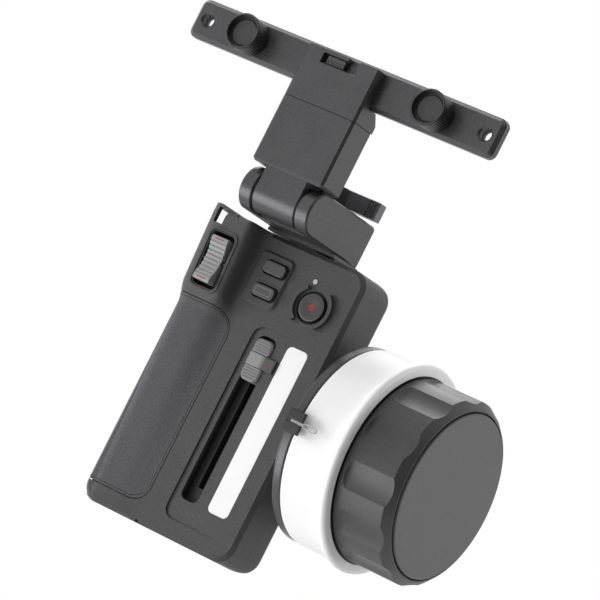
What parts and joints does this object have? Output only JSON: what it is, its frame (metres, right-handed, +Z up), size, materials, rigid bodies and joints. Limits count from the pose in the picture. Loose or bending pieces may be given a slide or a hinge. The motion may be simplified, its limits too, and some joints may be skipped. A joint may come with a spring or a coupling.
{
  "type": "follow focus unit",
  "caption": "Hand grip with a large focus knob on its side, an iris slider, a zoom rocker, buttons, and a tilting bracket with a cross bar on top.",
  "frame": {"origin": "centre of the grip's flat bottom, on the axis of its base thread", "axes": "+Z up along the grip, -Y to the front where the slider and buttons are, +X to the focus knob"},
  "size_m": [0.1968, 0.0965, 0.2171],
  "materials": {
    "shell": "satin moulded plastic with a fine grain",
    "leather": "fine grained synthetic leather",
    "white_plastic": "smooth matte white",
    "inner_plastic": "plain black",
    "key_plastic": "satin",
    "slider_plastic": "satin grey",
    "pointer_plastic": "satin dark grey",
    "rocker_plastic": "ribbed satin grey",
    "light": "translucent light guide",
    "board": "lacquered circuit board",
    "cell": "shrink sleeve",
    "steel": "plain",
    "brass": "plain",
    "rubber": "matte rubber",
    "cap_plastic": "smooth satin",
    "dark_metal": "dark anodised, fine grain",
    "black_steel": "blackened",
    "magnet": "nickel plated"
  },
  "bodies": {
    "grip": {"front_shell": "shell", "rear_shell": "shell", "grip_cover": "leather", "marking_strip": "white_plastic", "slot_liner": "inner_plastic", "slide_potentiometer": "inner_plastic", "main_board": "board", "battery_cell": "cell", "battery_cradle": "inner_plastic", "button_board": "board", "status_light": "light", "rocker_well": "inner_plastic", "rocker_axle": "black_steel", "usb_socket": "steel", "base_insert": "brass", "case_screws": "black_steel", "top_rail": "dark_metal", "rail_anchor": "steel", "rail_screws": "black_steel", "knob_neck": "dark_metal", "neck_plate": "steel", "index_ring": "dark_metal", "shaft_bearings": "steel", "bearing_spacer": "steel", "encoder_board": "board"},
    "slider": {"slider_carriage": "slider_plastic", "slider_cap": "slider_plastic", "slider_pointer": "pointer_plastic"},
    "upper_key": {"function_button_upper": "key_plastic"},
    "lower_key": {"function_button_lower": "key_plastic"},
    "record_key": {"record_button": "key_plastic"},
    "power_key": {"power_button": "key_plastic"},
    "rocker": {"zoom_rocker": "rocker_plastic"},
    "port_flap": {"port_cover": "rubber"},
    "clip": {"index_clip": "inner_plastic", "index_needle": "steel"},
    "knob": {"knob_shaft": "steel", "shaft_collar": "steel", "encoder_magnet": "magnet", "knob_drum": "inner_plastic", "knob_grip": "rubber", "knob_cap": "cap_plastic", "knob_screw": "black_steel"},
    "ring": {"marking_ring": "white_plastic"},
    "foot": {"bracket_foot": "dark_metal", "foot_screws": "black_steel", "bracket_fork": "dark_metal", "hinge_pin": "steel", "friction_washers": "steel", "clamp_pad": "brass"},
    "lever": {"clamp_lever": "dark_metal"},
    "arm": {"hinge_arm": "dark_metal", "lower_block": "dark_metal"},
    "carrier": {"upper_block": "dark_metal", "cross_bar": "dark_metal", "bar_screws": "black_steel"},
    "latch": {"latch_button": "dark_metal"},
    "left_thumb": {"thumb_screw_left": "dark_metal"},
    "right_thumb": {"thumb_screw_right": "dark_metal"}
  },
  "joints": [
    {"name": "iris_slide", "type": "slide", "parent": "grip", "child": "slider", "axis": [0, 0, -1], "range_m": [0, 0.056]},
    {"name": "upper_key_press", "type": "slide", "parent": "grip", "child": "upper_key", "axis": [0, 1, 0], "range_m": [0, 0.0006], "stiffness_N_per_m": 800},
    {"name": "lower_key_press", "type": "slide", "parent": "grip", "child": "lower_key", "axis": [0, 1, 0], "range_m": [0, 0.0006], "stiffness_N_per_m": 800},
    {"name": "record_press", "type": "slide", "parent": "grip", "child": "record_key", "axis": [0, 1, 0], "range_m": [0, 0.0006], "stiffness_N_per_m": 800},
    {"name": "power_press", "type": "slide", "parent": "grip", "child": "power_key", "axis": [0, -1, 0], "range_m": [0, 0.0006], "stiffness_N_per_m": 800},
    {"name": "zoom_rock", "type": "hinge", "parent": "grip", "child": "rocker", "pos_m": [-0.0271, -0.0218, 0.1153], "axis": [1, 0, 0], "range_deg": [-8, 8], "stiffness_Nm_per_rad": 0.08},
    {"name": "port_open", "type": "hinge", "parent": "grip", "child": "port_flap", "pos_m": [-0.0412, 0.005, 0.10485], "axis": [0, -1, 0], "range_deg": [0, 100]},
    {"name": "clip_turn", "type": "hinge", "parent": "grip", "child": "clip", "pos_m": [0.0579, 0, 0.0675], "axis": [1, 0, 0], "range_deg": [-90, 90]},
    {"name": "focus_turn", "type": "hinge", "parent": "grip", "child": "knob", "pos_m": [0.0859, 0, 0.0675], "axis": [1, 0, 0], "range_deg": [-150, 150]},
    {"name": "ring_pull", "type": "slide", "parent": "knob", "child": "ring", "axis": [1, 0, 0], "range_m": [0, 0.06]},
    {"name": "foot_slide", "type": "slide", "parent": "grip", "child": "foot", "axis": [0, -1, 0], "range_m": [0, 0.024]},
    {"name": "lever_turn", "type": "hinge", "parent": "foot", "child": "lever", "pos_m": [0, 0.001, 0.1648], "axis": [0, 0, 1], "range_deg": [-30, 120]},
    {"name": "bracket_tilt", "type": "hinge", "parent": "foot", "child": "arm", "pos_m": [0, -0.0352, 0.1496], "axis": [1, 0, 0], "range_deg": [0, 110]},
    {"name": "release_slide", "type": "slide", "parent": "arm", "child": "carrier", "axis": [0, 0, 1], "range_m": [0, 0.012]},
    {"name": "latch_slide", "type": "slide", "parent": "carrier", "child": "latch", "axis": [1, 0, 0], "range_m": [0, 0.004], "stiffness_N_per_m": 300},
    {"name": "left_thumb_turn", "type": "hinge", "parent": "carrier", "child": "left_thumb", "pos_m": [-0.05, -0.0395, 0.2081], "axis": [0, 1, 0], "continuous": true},
    {"name": "right_thumb_turn", "type": "hinge", "parent": "carrier", "child": "right_thumb", "pos_m": [0.05, -0.0395, 0.2081], "axis": [0, 1, 0], "continuous": true}
  ]
}
